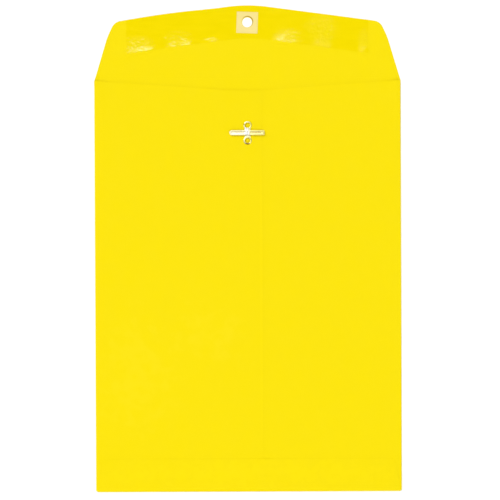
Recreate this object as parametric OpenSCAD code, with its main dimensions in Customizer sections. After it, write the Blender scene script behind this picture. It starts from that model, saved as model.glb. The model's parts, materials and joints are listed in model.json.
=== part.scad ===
// Open-end clasp envelope, nominally 9 by 12 inches, lying on its address side with the seal flap open.
// Millimetres. +Z is up, +Y runs towards the flap, +X is to the right seen from above.
// The origin is under the middle of the whole outline, on the surface that it lies on.

/* [Pocket] */
// Width across the side folds
body_w = 227; // [180:0.1:330]
// Height from the bottom fold to the flap fold
body_h = 307.2; // [220:0.1:420]
// Thickness of the paper
paper_t = 0.15; // [0.1:0.01:0.3]
// Clear height inside the empty pocket
pocket_gap = 0.9; // [0.6:0.05:3]
// Thickness of the glue films
glue_t = 0.03; // [0.02:0.01:0.1]

/* [Seal flap] */
// Height of the flap from its fold to its highest point
flap_h = 53.5; // [45:0.1:70]
// Fall of the two top edges from the middle, in degrees
flap_slope = 7.7; // [3:0.1:12]
// How far each side has come in at the flap's shoulder
flap_side_inset = 15.2; // [12:0.1:20]
// Radius of the two shoulder corners
flap_corner_r = 8; // [4:0.5:11]
// How far the bend in each side stands out past the shoulder
flap_bend_out = 5.2; // [4.2:0.1:6.5]
// How far the bend in each side lies below the shoulder
flap_bend_drop = 10.4; // [9:0.1:13]
// Radius of the bend in each side
flap_bend_r = 50; // [20:5:60]
// Radius of the blunt point in the middle of the top edge
flap_point_r = 115; // [60:5:240]
// Slit left between flap and pocket at the scored fold
fold_slit = 0.04; // [0.02:0.01:0.1]

/* [Throat] */
// Drop of the pocket's mouth below the flap fold at the side folds
throat_drop = 2; // [1:0.1:6]
// Fall of the mouth's two edges towards the middle, in degrees
throat_slope = 4.1; // [1:0.1:8]
// Radius of the blunt hollow in the middle of the mouth
throat_hollow_r = 300; // [60:10:500]

/* [Seams] */
// Overlap of the two side panels at the centre seam
seam_overlap = 21.2; // [16:0.1:40]
// Bare edge kept free of glue along the centre seam
seam_margin = 3; // [1:0.1:6]
// Height of the bottom flap above the bottom fold
bottom_flap_h = 24.6; // [15:0.1:45]
// Step in from the side folds at the foot of the bottom flap
bottom_step = 1; // [0.8:0.1:6]
// How much further each end has come in at the top of the bottom flap
bottom_taper = 4; // [0:0.1:12]
// Radius of the bottom flap's two free corners
bottom_corner_r = 5; // [1:0.5:10]
// Bare edge kept free of glue round the bottom flap
bottom_margin = 2.5; // [1:0.1:6]

/* [Gum] */
// Thickness of the dried gum
gum_t = 0.03; // [0.02:0.01:0.06]
// Depth of the gummed band
gum_depth = 23.5; // [18:0.1:30]
// Bare edge between the band and the flap's top edge
gum_edge = 0.8; // [0.5:0.1:4]
// Bare length between each end of the band and the flap's shoulder
gum_end = 8.7; // [7:0.1:30]
// Bare gap between the gum and the patch
gum_gap = 0.2; // [0.1:0.05:1]

/* [Hole and patch] */
// Distance from the flap's highest point to the middle of the hole
hole_from_edge = 12.5; // [11:0.1:16]
// Room between the raised prongs and the edge of the hole
hole_room = 1.9; // [1.6:0.1:4]
// Paper between the hole and the sides of its patch
patch_border = 4.2; // [2:0.1:6]
// Thickness of the patch
patch_t = 0.2; // [0.1:0.01:0.4]
// How far the patch sits below the middle of the hole
patch_drop = 0.2; // [0:0.1:1.5]
// Clockwise turn of the patch, in degrees
patch_turn = 2; // [-4:0.5:4]

/* [Clasp] */
// Thickness of the tinned sheet
metal_t = 0.25; // [0.15:0.01:0.4]
// Distance between the middles of the two eyelets
eyelet_pitch = 11.3; // [9:0.1:16]
// Radius of the hole in each eyelet
eyelet_bore_r = 1.9; // [1.2:0.05:2.5]
// Width of the ring round each eyelet
ring_w = 1.1; // [0.8:0.05:1.6]
// Height of the ring's crown above the plate
ring_crown = 0.12; // [0.05:0.01:0.3]
// Wall of the eyelet's drawn barrel
barrel_wall = 0.2; // [0.12:0.01:0.3]
// Width of the rim clinched over inside the pocket
clinch_w = 0.9; // [0.5:0.05:1.4]
// Clearance between the barrels and the holes in the paper
barrel_clearance = 0.05; // [0.03:0.01:0.2]
// Step in from the rings to the waist of the plate
waist_nip = 1.2; // [0.6:0.05:1.6]

/* [Prongs] */
// Reach of the left prong from the middle of the clasp
left_reach = 13.4; // [10:0.1:18]
// Reach of the right prong from the middle of the clasp
right_reach = 12.5; // [10:0.1:18]
// Width of a prong
prong_w = 3.6; // [2.4:0.1:5]
// Step in from a prong's sides to its narrow root
root_step = 0.3; // [0.1:0.05:0.6]
// Length of the narrow root
root_l = 0.8; // [0.5:0.1:1.5]
// Radius of the corners at the left prong's round tip
left_tip_r = 1.6; // [0.4:0.1:2.4]
// Radius of the corners at the right prong's square tip
right_tip_r = 0.5; // [0.4:0.1:2.4]
// Gap between the two prongs at their roots
prong_gap = 0.35; // [0.2:0.05:1]
// Width of the stiffening groove
groove_w = 1.7; // [0.8:0.1:2]
// Depth of the stiffening groove
groove_depth = 0.2; // [0.1:0.01:0.3]
// Plain metal left at both ends of the groove
groove_end = 1.3; // [0.6:0.1:3]
// Clearance between a prong's root and the tab that it bends on
bend_clearance = 0.03; // [0.02:0.01:0.1]
// Clearance between the closed flap and the eyelets below it
flap_clearance = 0.08; // [0.04:0.01:0.3]
// Clearance between the closed flap and the prongs bent over it
lock_clearance = 0.1; // [0.05:0.01:0.4]

/* [Hidden] */

// Facets of a drawn circle, and of the clasp's wide arcs
$fn = 64;
wide_fn = 360;
// Longest step and widest turn between two points along an arc of the paper's outline
arc_step = 1.5;
arc_turn = 6;
// How far a cutter runs past the face that it cuts
past = 1;

// Places along the length
bottom_y = -(body_h + flap_h) / 2;
fold_y = bottom_y + body_h;
mouth_y = fold_y - throat_drop;
hole_from_fold = flap_h - hole_from_edge;
hole_y = fold_y + hole_from_fold;
clasp_y = fold_y - hole_from_fold;

// Heights of the layers, each the underside of what it names
right_z = paper_t + pocket_gap;
seam_glue_z = right_z + paper_t;
left_z = seam_glue_z + glue_t;
back_z = left_z + paper_t;
bottom_flap_z = back_z + glue_t;

// Inner radii of the folds, half the height that each one wraps
left_fold_r = (left_z - paper_t) / 2;
right_fold_r = (right_z - paper_t) / 2;
bottom_fold_r = (bottom_flap_z - paper_t) / 2;

// Edges of the flat panels, where the folds begin
left_x = -body_w / 2 + left_fold_r + paper_t;
right_x = body_w / 2 - right_fold_r - paper_t;
foot_y = bottom_y + bottom_fold_r + paper_t;
seam_x = seam_overlap / 2;

// Corners of the seal flap before they are rounded, measured from the fold
shoulder_x = body_w / 2 - flap_side_inset;
point_h = flap_h + flap_point_r * (1 / cos(flap_slope) - 1);
shoulder_h = point_h - shoulder_x * tan(flap_slope);
bend_x = shoulder_x + flap_bend_out;
bend_h = shoulder_h - flap_bend_drop;
taper_share = throat_drop / (throat_drop + bend_h);
flap_foot_x = body_w / 2 - taper_share * (body_w / 2 - bend_x);

// Hole for the raised prongs, and the square patch round it
hole_r = prong_w / 2 + hole_room;
patch_side = 2 * (hole_r + patch_border);

// Lowest point of the mouth, where the hollow rounds the corner between its two edges
throat_corner_y = mouth_y - body_w / 2 * tan(throat_slope);
throat_y = throat_corner_y + throat_hollow_r * (1 / cos(throat_slope) - 1);

// Clasp plate: rings, waist and the holes for its barrels
ring_r = eyelet_bore_r + ring_w;
waist_half = ring_r - waist_nip;
waist_arc_r = (pow(eyelet_pitch / 2, 2) + pow(waist_half, 2) - pow(ring_r, 2)) / (2 * waist_nip);
crown_r = (pow(ring_w / 2, 2) + pow(ring_crown, 2)) / (2 * ring_crown);
barrel_r = eyelet_bore_r + barrel_wall;
barrel_hole_r = barrel_r + barrel_clearance;
plate_z = back_z + metal_t;

// The closed flap lies on the eyelets, and the prongs bend down over it
closed_patch_z = plate_z + ring_crown + flap_clearance;
hinge_z = (closed_patch_z + paper_t + patch_t) / 2;
closed_flap_top_z = 2 * hinge_z;
prong_z = closed_flap_top_z + lock_clearance + groove_depth;
root_z = prong_z + metal_t / 2;
root_x = (prong_gap + metal_t) / 2;
root_w = prong_w - 2 * root_step;
groove_r = (pow(groove_w / 2, 2) + pow(groove_depth, 2)) / (2 * groove_depth);
groove_axis_z = prong_z + metal_t - groove_depth + groove_r;

// Point a given distance from one point towards another
function towards(from, to, distance) = from + (to - from) * distance / norm(to - from);

// Unit vector that halves the corner at point b between its neighbours a and c
function corner_bisector(a, b, c) =
    let (inward = towards([0, 0], a - b, 1) + towards([0, 0], c - b, 1)) inward / norm(inward);

// Half of the angle at point b between its neighbours a and c
function half_corner(a, b, c) = acos((a - b) * (c - b) / (norm(a - b) * norm(c - b))) / 2;

// Points along an arc, close enough together in angle and in length
function arc_points(centre, radius, from, to) =
    let (
        turn = to - from,
        count = max(ceil(abs(turn) / arc_turn), ceil(radius * abs(turn) * PI / 180 / arc_step))
    )
    [
        for (i = [0 : count])
            let (angle = from + turn * i / count) centre + radius * [cos(angle), sin(angle)]
    ];

// Arc that rounds the corner at point b between its neighbours a and c, anticlockwise
function corner_points(a, b, c, radius) =
    let (
        half = half_corner(a, b, c),
        centre = b + corner_bisector(a, b, c) * radius / sin(half),
        start = towards(b, a, radius / tan(half)) - centre,
        from = atan2(start[1], start[0])
    )
    arc_points(centre, radius, from, from + 180 - 2 * half);

// Flat outline through the points, anticlockwise, with each corner rounded to its own radius
module rounded_outline(points, radii) {
    count = len(points);
    polygon([
        for (i = [0 : count - 1])
            let (before = points[(i + count - 1) % count], after = points[(i + 1) % count])
            each radii[i] == 0 ? [points[i]] : corner_points(before, points[i], after, radii[i])
    ]);
}

// Half-round strip of folded paper of a given length, open towards +X and lying along +Y
module fold_strip(inner_r, strip_l) {
    translate([0, strip_l, inner_r + paper_t])
        rotate([90, 0, 0])
            linear_extrude(strip_l)
                difference() {
                    circle(r = inner_r + paper_t);
                    circle(r = inner_r);
                    translate([0, -inner_r - paper_t - past])
                        square(2 * (inner_r + paper_t + past));
                }
}

// Outline of both side panels together, whose mouth falls from the side folds to a blunt hollow
module back_outline() {
    hollow_centre = [0, throat_y + throat_hollow_r];
    polygon([
        [left_x, foot_y],
        [right_x, foot_y],
        [right_x, mouth_y - (body_w / 2 - right_x) * tan(throat_slope)],
        each arc_points(hollow_centre, throat_hollow_r, 270 + throat_slope, 270 - throat_slope),
        [left_x, mouth_y - (body_w / 2 + left_x) * tan(throat_slope)]
    ]);
}

// Outline of one side panel from one edge to the other, with the holes for the barrels
module side_panel_outline(from_x, to_x) {
    difference() {
        intersection() {
            back_outline();
            translate([from_x, bottom_y]) square([to_x - from_x, body_h]);
        }
        barrel_places() circle(r = barrel_hole_r);
    }
}

// Puts its children at the middles of the two eyelets
module barrel_places() {
    for (side = [-1, 1])
        translate([0, clasp_y + side * eyelet_pitch / 2]) children();
}

// Outline of the whole seal flap, moved down by a given distance
module seal_flap_outline(down = 0) {
    translate([0, fold_y - down])
        rounded_outline(
            [
                [-flap_foot_x, 0], [flap_foot_x, 0], [bend_x, bend_h], [shoulder_x, shoulder_h],
                [0, point_h], [-shoulder_x, shoulder_h], [-bend_x, bend_h]
            ],
            [0, 0, flap_bend_r, flap_corner_r, flap_point_r, flap_corner_r, flap_bend_r]
        );
}

// Square of the patch with a bare gap round it
module patch_outline(gap = 0) {
    translate([0, hole_y - patch_drop])
        rotate(-patch_turn)
            square(patch_side + 2 * gap, center = true);
}

// Outline of the bottom flap, drawn in by a given margin on all sides
module bottom_flap_outline(margin = 0) {
    foot_half = body_w / 2 - bottom_step - margin;
    top_half = foot_half - bottom_taper;
    corner_r = max(bottom_corner_r - margin, bottom_corner_r / 2);
    rounded_outline(
        [
            [-foot_half, foot_y + margin], [foot_half, foot_y + margin],
            [top_half, bottom_y + bottom_flap_h - margin], [-top_half, bottom_y + bottom_flap_h - margin]
        ],
        [0, 0, corner_r, corner_r]
    );
}

// Front of the pocket, the address side, up to the scored fold of the seal flap
module front_panel() {
    color("gold")
        linear_extrude(paper_t)
            polygon([
                [left_x, foot_y], [right_x, foot_y], [right_x, mouth_y], [body_w / 2, mouth_y],
                [flap_foot_x, fold_y], [-flap_foot_x, fold_y], [-body_w / 2, mouth_y], [left_x, mouth_y]
            ]);
}

// Fold between the front and the left panel
module left_fold() {
    color("gold")
        translate([left_x, foot_y, 0])
            fold_strip(left_fold_r, mouth_y - foot_y);
}

// Fold between the front and the right panel
module right_fold() {
    color("gold")
        translate([right_x, foot_y, 0])
            mirror([1, 0, 0])
                fold_strip(right_fold_r, mouth_y - foot_y);
}

// Fold between the front and the bottom flap
module bottom_fold() {
    strip_l = body_w - 2 * bottom_step;
    color("gold")
        translate([strip_l / 2, foot_y, 0])
            rotate(90)
                fold_strip(bottom_fold_r, strip_l);
}

// Left side panel, whose free edge is the visible centre seam
module left_panel() {
    color("gold")
        translate([0, 0, left_z])
            linear_extrude(paper_t)
                side_panel_outline(left_x, seam_x);
}

// Right side panel, whose free edge lies under the left one
module right_panel() {
    color("gold")
        translate([0, 0, right_z])
            linear_extrude(paper_t)
                side_panel_outline(-seam_x, right_x);
}

// Bottom flap, folded up outside the side panels
module bottom_flap() {
    color("gold")
        translate([0, 0, bottom_flap_z])
            linear_extrude(paper_t)
                bottom_flap_outline();
}

// Glue film between the two side panels
module seam_glue() {
    film_w = seam_overlap - 2 * seam_margin;
    film_top_y = throat_y - seam_margin;
    film_foot_y = foot_y + seam_margin;
    color("wheat")
        translate([0, 0, seam_glue_z])
            linear_extrude(glue_t)
                difference() {
                    translate([-film_w / 2, film_foot_y]) square([film_w, film_top_y - film_foot_y]);
                    barrel_places() circle(r = barrel_hole_r);
                }
}

// Glue under the bottom flap, thicker over the right panel, which lies one sheet lower
module bottom_glue() {
    right_film_z = seam_glue_z;
    color("wheat") {
        translate([0, 0, back_z])
            linear_extrude(glue_t)
                bottom_flap_outline(bottom_margin);
        translate([0, 0, right_film_z])
            linear_extrude(bottom_flap_z - right_film_z)
                intersection() {
                    bottom_flap_outline(bottom_margin);
                    translate([seam_x, bottom_y]) square([body_w, bottom_flap_h]);
                }
    }
}

// Outline of the clasp plate: two rings joined by a waist with hollow sides
module clasp_plate_outline() {
    ring_y = eyelet_pitch / 2;
    arc_x = waist_half + waist_arc_r;
    meeting = [arc_x, 0] + waist_arc_r / (waist_arc_r + ring_r) * [-arc_x, ring_y];
    for (side = [-1, 1])
        translate([0, side * ring_y]) circle(r = ring_r);
    difference() {
        polygon([meeting, [-meeting[0], meeting[1]], -meeting, [meeting[0], -meeting[1]]]);
        for (side = [-1, 1])
            translate([side * arc_x, 0]) circle(r = waist_arc_r, $fn = wide_fn);
    }
}

// Eyelet: crowned ring above the plate, barrel through both panels, rim clinched over inside
module eyelet() {
    rim_r = barrel_r + clinch_w - barrel_wall / 2;
    rotate_extrude() {
        intersection() {
            translate([eyelet_bore_r + ring_w / 2, plate_z + ring_crown - crown_r])
                circle(r = crown_r, $fn = wide_fn);
            translate([eyelet_bore_r, plate_z]) square([ring_w, ring_crown]);
        }
        translate([eyelet_bore_r, right_z - barrel_wall])
            square([barrel_wall, plate_z - right_z + barrel_wall]);
        translate([eyelet_bore_r, right_z - barrel_wall])
            square([rim_r - eyelet_bore_r, barrel_wall]);
        translate([rim_r, right_z - barrel_wall / 2])
            circle(r = barrel_wall / 2);
    }
}

// Fixed half of the clasp: plate, two eyelets, and two tabs turned up for the prongs to bend on
module clasp_plate() {
    tab_h = root_z - metal_t / 2 - bend_clearance - plate_z;
    color("silver") {
        difference() {
            translate([0, clasp_y, back_z]) linear_extrude(metal_t) clasp_plate_outline();
            translate([0, 0, back_z - past])
                linear_extrude(metal_t + 2 * past)
                    barrel_places() circle(r = eyelet_bore_r);
        }
        barrel_places() eyelet();
        for (side = [-1, 1])
            translate([side * root_x - metal_t / 2, clasp_y - root_w / 2, plate_z])
                cube([metal_t, root_w, tab_h]);
    }
}

// Round-ended bar along +X, used to press the stiffening groove of a prong of a given reach
module groove_bar(radius, reach) {
    from_x = root_x + root_l + groove_end;
    to_x = reach - groove_end - groove_w / 2;
    translate([0, 0, groove_axis_z])
        rotate([0, 90, 0])
            rotate_extrude($fn = wide_fn) {
                translate([0, from_x]) square([radius, to_x - from_x]);
                for (end = [[from_x, from_x - radius], [to_x, to_x]])
                    intersection() {
                        translate([0, end[0]]) circle(r = radius, $fn = wide_fn);
                        translate([0, end[1]]) square(radius);
                    }
            }
}

// One prong pointing along +X: round root on its bending line, grooved blade, rounded tip
module prong(reach, tip_r) {
    blade_x = root_x + root_l;
    tip_round = min(tip_r, prong_w / 2 - root_step / 2);
    difference() {
        union() {
            translate([root_x, root_w / 2, root_z])
                rotate([90, 0, 0])
                    cylinder(d = metal_t, h = root_w);
            translate([root_x, -root_w / 2, prong_z])
                cube([root_l, root_w, metal_t]);
            translate([0, 0, prong_z])
                linear_extrude(metal_t)
                    rounded_outline(
                        [
                            [blade_x, -prong_w / 2], [reach, -prong_w / 2],
                            [reach, prong_w / 2], [blade_x, prong_w / 2]
                        ],
                        [0, tip_round, tip_round, 0]
                    );
            intersection() {
                groove_bar(groove_r + metal_t, reach);
                translate([blade_x, -prong_w / 2, prong_z - groove_depth])
                    cube([reach - blade_x, prong_w, groove_depth + metal_t / 2]);
            }
        }
        groove_bar(groove_r, reach);
    }
}

// Prong that bends down to the left
module left_prong() {
    color("silver")
        translate([0, clasp_y, 0])
            mirror([1, 0, 0])
                prong(left_reach, left_tip_r);
}

// Prong that bends down to the right
module right_prong() {
    color("silver")
        translate([0, clasp_y, 0])
            prong(right_reach, right_tip_r);
}

// Seal flap with the hole that drops over the raised prongs
module seal_flap() {
    color("gold")
        linear_extrude(paper_t)
            difference() {
                seal_flap_outline();
                translate([-flap_foot_x - past, fold_y - past])
                    square([2 * (flap_foot_x + past), past + fold_slit]);
                translate([0, hole_y]) circle(r = hole_r);
            }
}

// Dried gum on the inner face of the flap, parted round the patch
module gum_band() {
    half_w = shoulder_x - gum_end;
    color("goldenrod")
        translate([0, 0, paper_t])
            linear_extrude(gum_t)
                difference() {
                    intersection() {
                        seal_flap_outline(gum_edge);
                        translate([-half_w, fold_y]) square([2 * half_w, flap_h]);
                    }
                    seal_flap_outline(gum_edge + gum_depth);
                    patch_outline(gum_gap);
                }
}

// Stiff square patch that keeps the prongs from tearing the hole
module hole_patch() {
    color("moccasin")
        translate([0, 0, paper_t])
            linear_extrude(patch_t)
                difference() {
                    patch_outline();
                    translate([0, hole_y]) circle(r = hole_r);
                }
}

front_panel();
left_fold();
right_fold();
bottom_fold();
left_panel();
right_panel();
bottom_flap();
seam_glue();
bottom_glue();
clasp_plate();
left_prong();
right_prong();
seal_flap();
gum_band();
hole_patch();
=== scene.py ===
"""Open-end clasp envelope, lying on its address side with the seal flap open.

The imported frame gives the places. Paper sheets, gum, patch and clasp are modelled round it in
millimetres, brought down to metres when they are finished, and dressed with procedural finishes.
"""

import json
import logging
import math
from collections.abc import Callable, Iterator
from contextlib import contextmanager
from dataclasses import dataclass, field
from enum import Enum

import bmesh
import bpy
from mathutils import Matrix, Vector, noise


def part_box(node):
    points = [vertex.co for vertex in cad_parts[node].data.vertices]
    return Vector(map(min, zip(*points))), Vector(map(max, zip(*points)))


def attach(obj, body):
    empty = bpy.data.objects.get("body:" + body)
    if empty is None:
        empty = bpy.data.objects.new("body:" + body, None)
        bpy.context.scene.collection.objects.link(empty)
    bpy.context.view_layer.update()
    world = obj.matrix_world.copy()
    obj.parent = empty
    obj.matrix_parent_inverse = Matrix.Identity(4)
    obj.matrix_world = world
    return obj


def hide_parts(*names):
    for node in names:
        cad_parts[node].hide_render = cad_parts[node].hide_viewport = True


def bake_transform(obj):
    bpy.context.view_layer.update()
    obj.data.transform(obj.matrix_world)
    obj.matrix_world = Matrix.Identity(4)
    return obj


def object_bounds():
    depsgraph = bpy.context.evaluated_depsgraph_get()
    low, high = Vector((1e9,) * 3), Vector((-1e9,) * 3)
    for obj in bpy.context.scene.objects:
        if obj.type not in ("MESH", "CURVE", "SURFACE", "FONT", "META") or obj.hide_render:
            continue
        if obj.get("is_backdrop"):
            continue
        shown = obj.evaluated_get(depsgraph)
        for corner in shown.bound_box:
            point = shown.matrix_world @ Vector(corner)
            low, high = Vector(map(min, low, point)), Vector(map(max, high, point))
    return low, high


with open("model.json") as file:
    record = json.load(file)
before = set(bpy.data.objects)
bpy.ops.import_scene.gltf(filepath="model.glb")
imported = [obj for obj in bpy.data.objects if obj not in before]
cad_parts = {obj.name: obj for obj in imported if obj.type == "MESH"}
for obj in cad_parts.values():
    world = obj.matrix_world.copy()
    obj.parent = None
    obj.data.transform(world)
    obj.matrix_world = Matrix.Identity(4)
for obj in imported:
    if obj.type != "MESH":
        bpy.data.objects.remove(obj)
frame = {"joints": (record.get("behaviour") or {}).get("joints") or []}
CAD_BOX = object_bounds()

LOG = logging.getLogger("clasp_envelope")
MM = 0.001
ON_EDGE = 1e-3
SMOOTH_ANGLE = math.radians(35)
CUT_TOLERANCE = 1e-5
FOLD_STEPS = 12
NOISE_RANGE = (0.3, 0.7)
MIX_LOW, MIX_HIGH, MIX_RESULT = 6, 7, 2

Range = tuple[float, float]
Colour = tuple[float, float, float]
Lengths = tuple[float, float, float]
Socket = bpy.types.NodeSocket
Place = Callable[[Vector], bool]
Move = Callable[[Vector], Vector]


class Body(Enum):
    """Rigid bodies of the frame."""

    POCKET = "pocket"
    FLAP = "flap"
    LEFT_PRONG = "left_prong"
    RIGHT_PRONG = "right_prong"


class Slot(Enum):
    """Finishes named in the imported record."""

    PAPER = "paper"
    PATCH = "patch"
    GUM = "gum"
    GLUE = "glue"
    CLASP = "clasp"


class Side(Enum):
    """Left or right half of the envelope, as the sign of X."""

    LEFT = -1
    RIGHT = 1


def node_box(node: str) -> tuple[Vector, Vector]:
    """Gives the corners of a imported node.

    Args:
        node: Name of the node.

    Returns:
        Lowest and highest corner in millimetres.
    """
    low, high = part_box(node)
    return low / MM, high / MM


def ease(share: float) -> float:
    """Gives a smooth step from 0 to 1, flat at both ends."""
    share = min(max(share, 0.0), 1.0)
    return share * share * (3 - 2 * share)


def shaded(colour: Colour, factor: float) -> Colour:
    """Gives a colour made lighter or darker by a factor."""
    return tuple(channel * factor for channel in colour)


def at_x(x: float) -> Place:
    """Gives a test for points at a place across."""
    return lambda point: abs(point.x - x) < ON_EDGE


def at_y(y: float) -> Place:
    """Gives a test for points at a place along."""
    return lambda point: abs(point.y - y) < ON_EDGE


def lifted(rule: Callable[[float, float], float]) -> Move:
    """Gives a move that lifts a point by a rule of its place across and along."""
    return lambda point: point + Vector((0, 0, rule(point.x, point.y)))


@dataclass(frozen=True)
class Layout:
    """Places of the folded sheet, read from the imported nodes, in millimetres."""

    left_x: float
    right_x: float
    half_w: float
    foot_y: float
    mouth_y: float
    fold_y: float
    top_y: float
    seam_x: float
    paper_t: float
    left_z: float
    right_z: float
    bottom_flap_z: float
    bottom_flap_half: float
    bottom_flap_top: float
    clasp_y: float
    back_z: float

    @classmethod
    def from_frame(cls) -> "Layout":
        """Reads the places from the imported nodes.

        Returns:
            The layout, with each z at the middle of a sheet's thickness, except back_z.
        """
        front_low, front_high = node_box("front_panel")
        left_low, left_high = node_box("left_panel")
        _, left_fold_high = node_box("left_fold")
        right_fold_low, right_fold_high = node_box("right_fold")
        right_low, _ = node_box("right_panel")
        foot_low, foot_high = node_box("bottom_flap")
        plate_low, plate_high = node_box("clasp_plate")
        _, flap_high = node_box("seal_flap")
        half_t = front_high.z / 2
        return cls(
            left_x=left_fold_high.x,
            right_x=right_fold_low.x,
            half_w=right_fold_high.x,
            foot_y=front_low.y,
            mouth_y=left_fold_high.y,
            fold_y=front_high.y,
            top_y=flap_high.y,
            seam_x=left_high.x,
            paper_t=front_high.z,
            left_z=left_low.z + half_t,
            right_z=right_low.z + half_t,
            bottom_flap_z=foot_low.z + half_t,
            bottom_flap_half=foot_high.x,
            bottom_flap_top=foot_high.y,
            clasp_y=(plate_low.y + plate_high.y) / 2,
            back_z=left_high.z,
        )


@dataclass(frozen=True)
class Corner:
    """Corner of a convex outline, with the radius that rounds it."""

    x: float
    y: float
    radius: float = 0.0


@dataclass(frozen=True)
class Cut:
    """Straight cut through a sheet: a point on it and the direction of the waste."""

    point: Vector
    outward: Vector


def rounded_cuts(corners: list[Corner], turn_step: float = 5.0, arc_step: float = 4.0) -> list[Cut]:
    """Finds the straight cuts that leave a convex outline with rounded corners.

    Args:
        corners: Corners in anticlockwise order.
        turn_step: Most degrees between two cuts round a corner.
        arc_step: Longest way between two cuts round a corner.

    Returns:
        One cut for each side and several for each rounded corner.
    """
    points = [Vector((corner.x, corner.y, 0)) for corner in corners]
    normals = []
    for point, following in zip(points, points[1:] + points[:1]):
        along = (following - point).normalized()
        normals.append(Vector((along.y, -along.x, 0)))
    cuts = [Cut(point, normal) for point, normal in zip(points, normals)]
    for index, corner in enumerate(corners):
        if not corner.radius:
            continue
        before, after = normals[index - 1], normals[index]
        centre = points[index] - corner.radius * (before + after) / (1 + before.dot(after))
        start = math.atan2(before.y, before.x)
        turn = before.angle(after)
        count = max(math.ceil(math.degrees(turn) / turn_step), math.ceil(corner.radius * turn / arc_step))
        for step in range(1, count):
            angle = start + turn * step / count
            outward = Vector((math.cos(angle), math.sin(angle), 0))
            cuts.append(Cut(centre + corner.radius * outward, outward))
    return cuts


def tapered_cuts(low: Vector, high: Vector, taper: float, radius: float) -> list[Cut]:
    """Finds the cuts that leave a flap with drawn-in ends and two rounded free corners.

    Args:
        low: Lowest corner of the flap's box.
        high: Highest corner of the flap's box.
        taper: How far each end comes in towards the free edge.
        radius: Radius of the free corners.

    Returns:
        The cuts.
    """
    return rounded_cuts(
        [
            Corner(low.x, low.y),
            Corner(high.x, low.y),
            Corner(high.x - taper, high.y, radius),
            Corner(low.x + taper, high.y, radius),
        ]
    )


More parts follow.
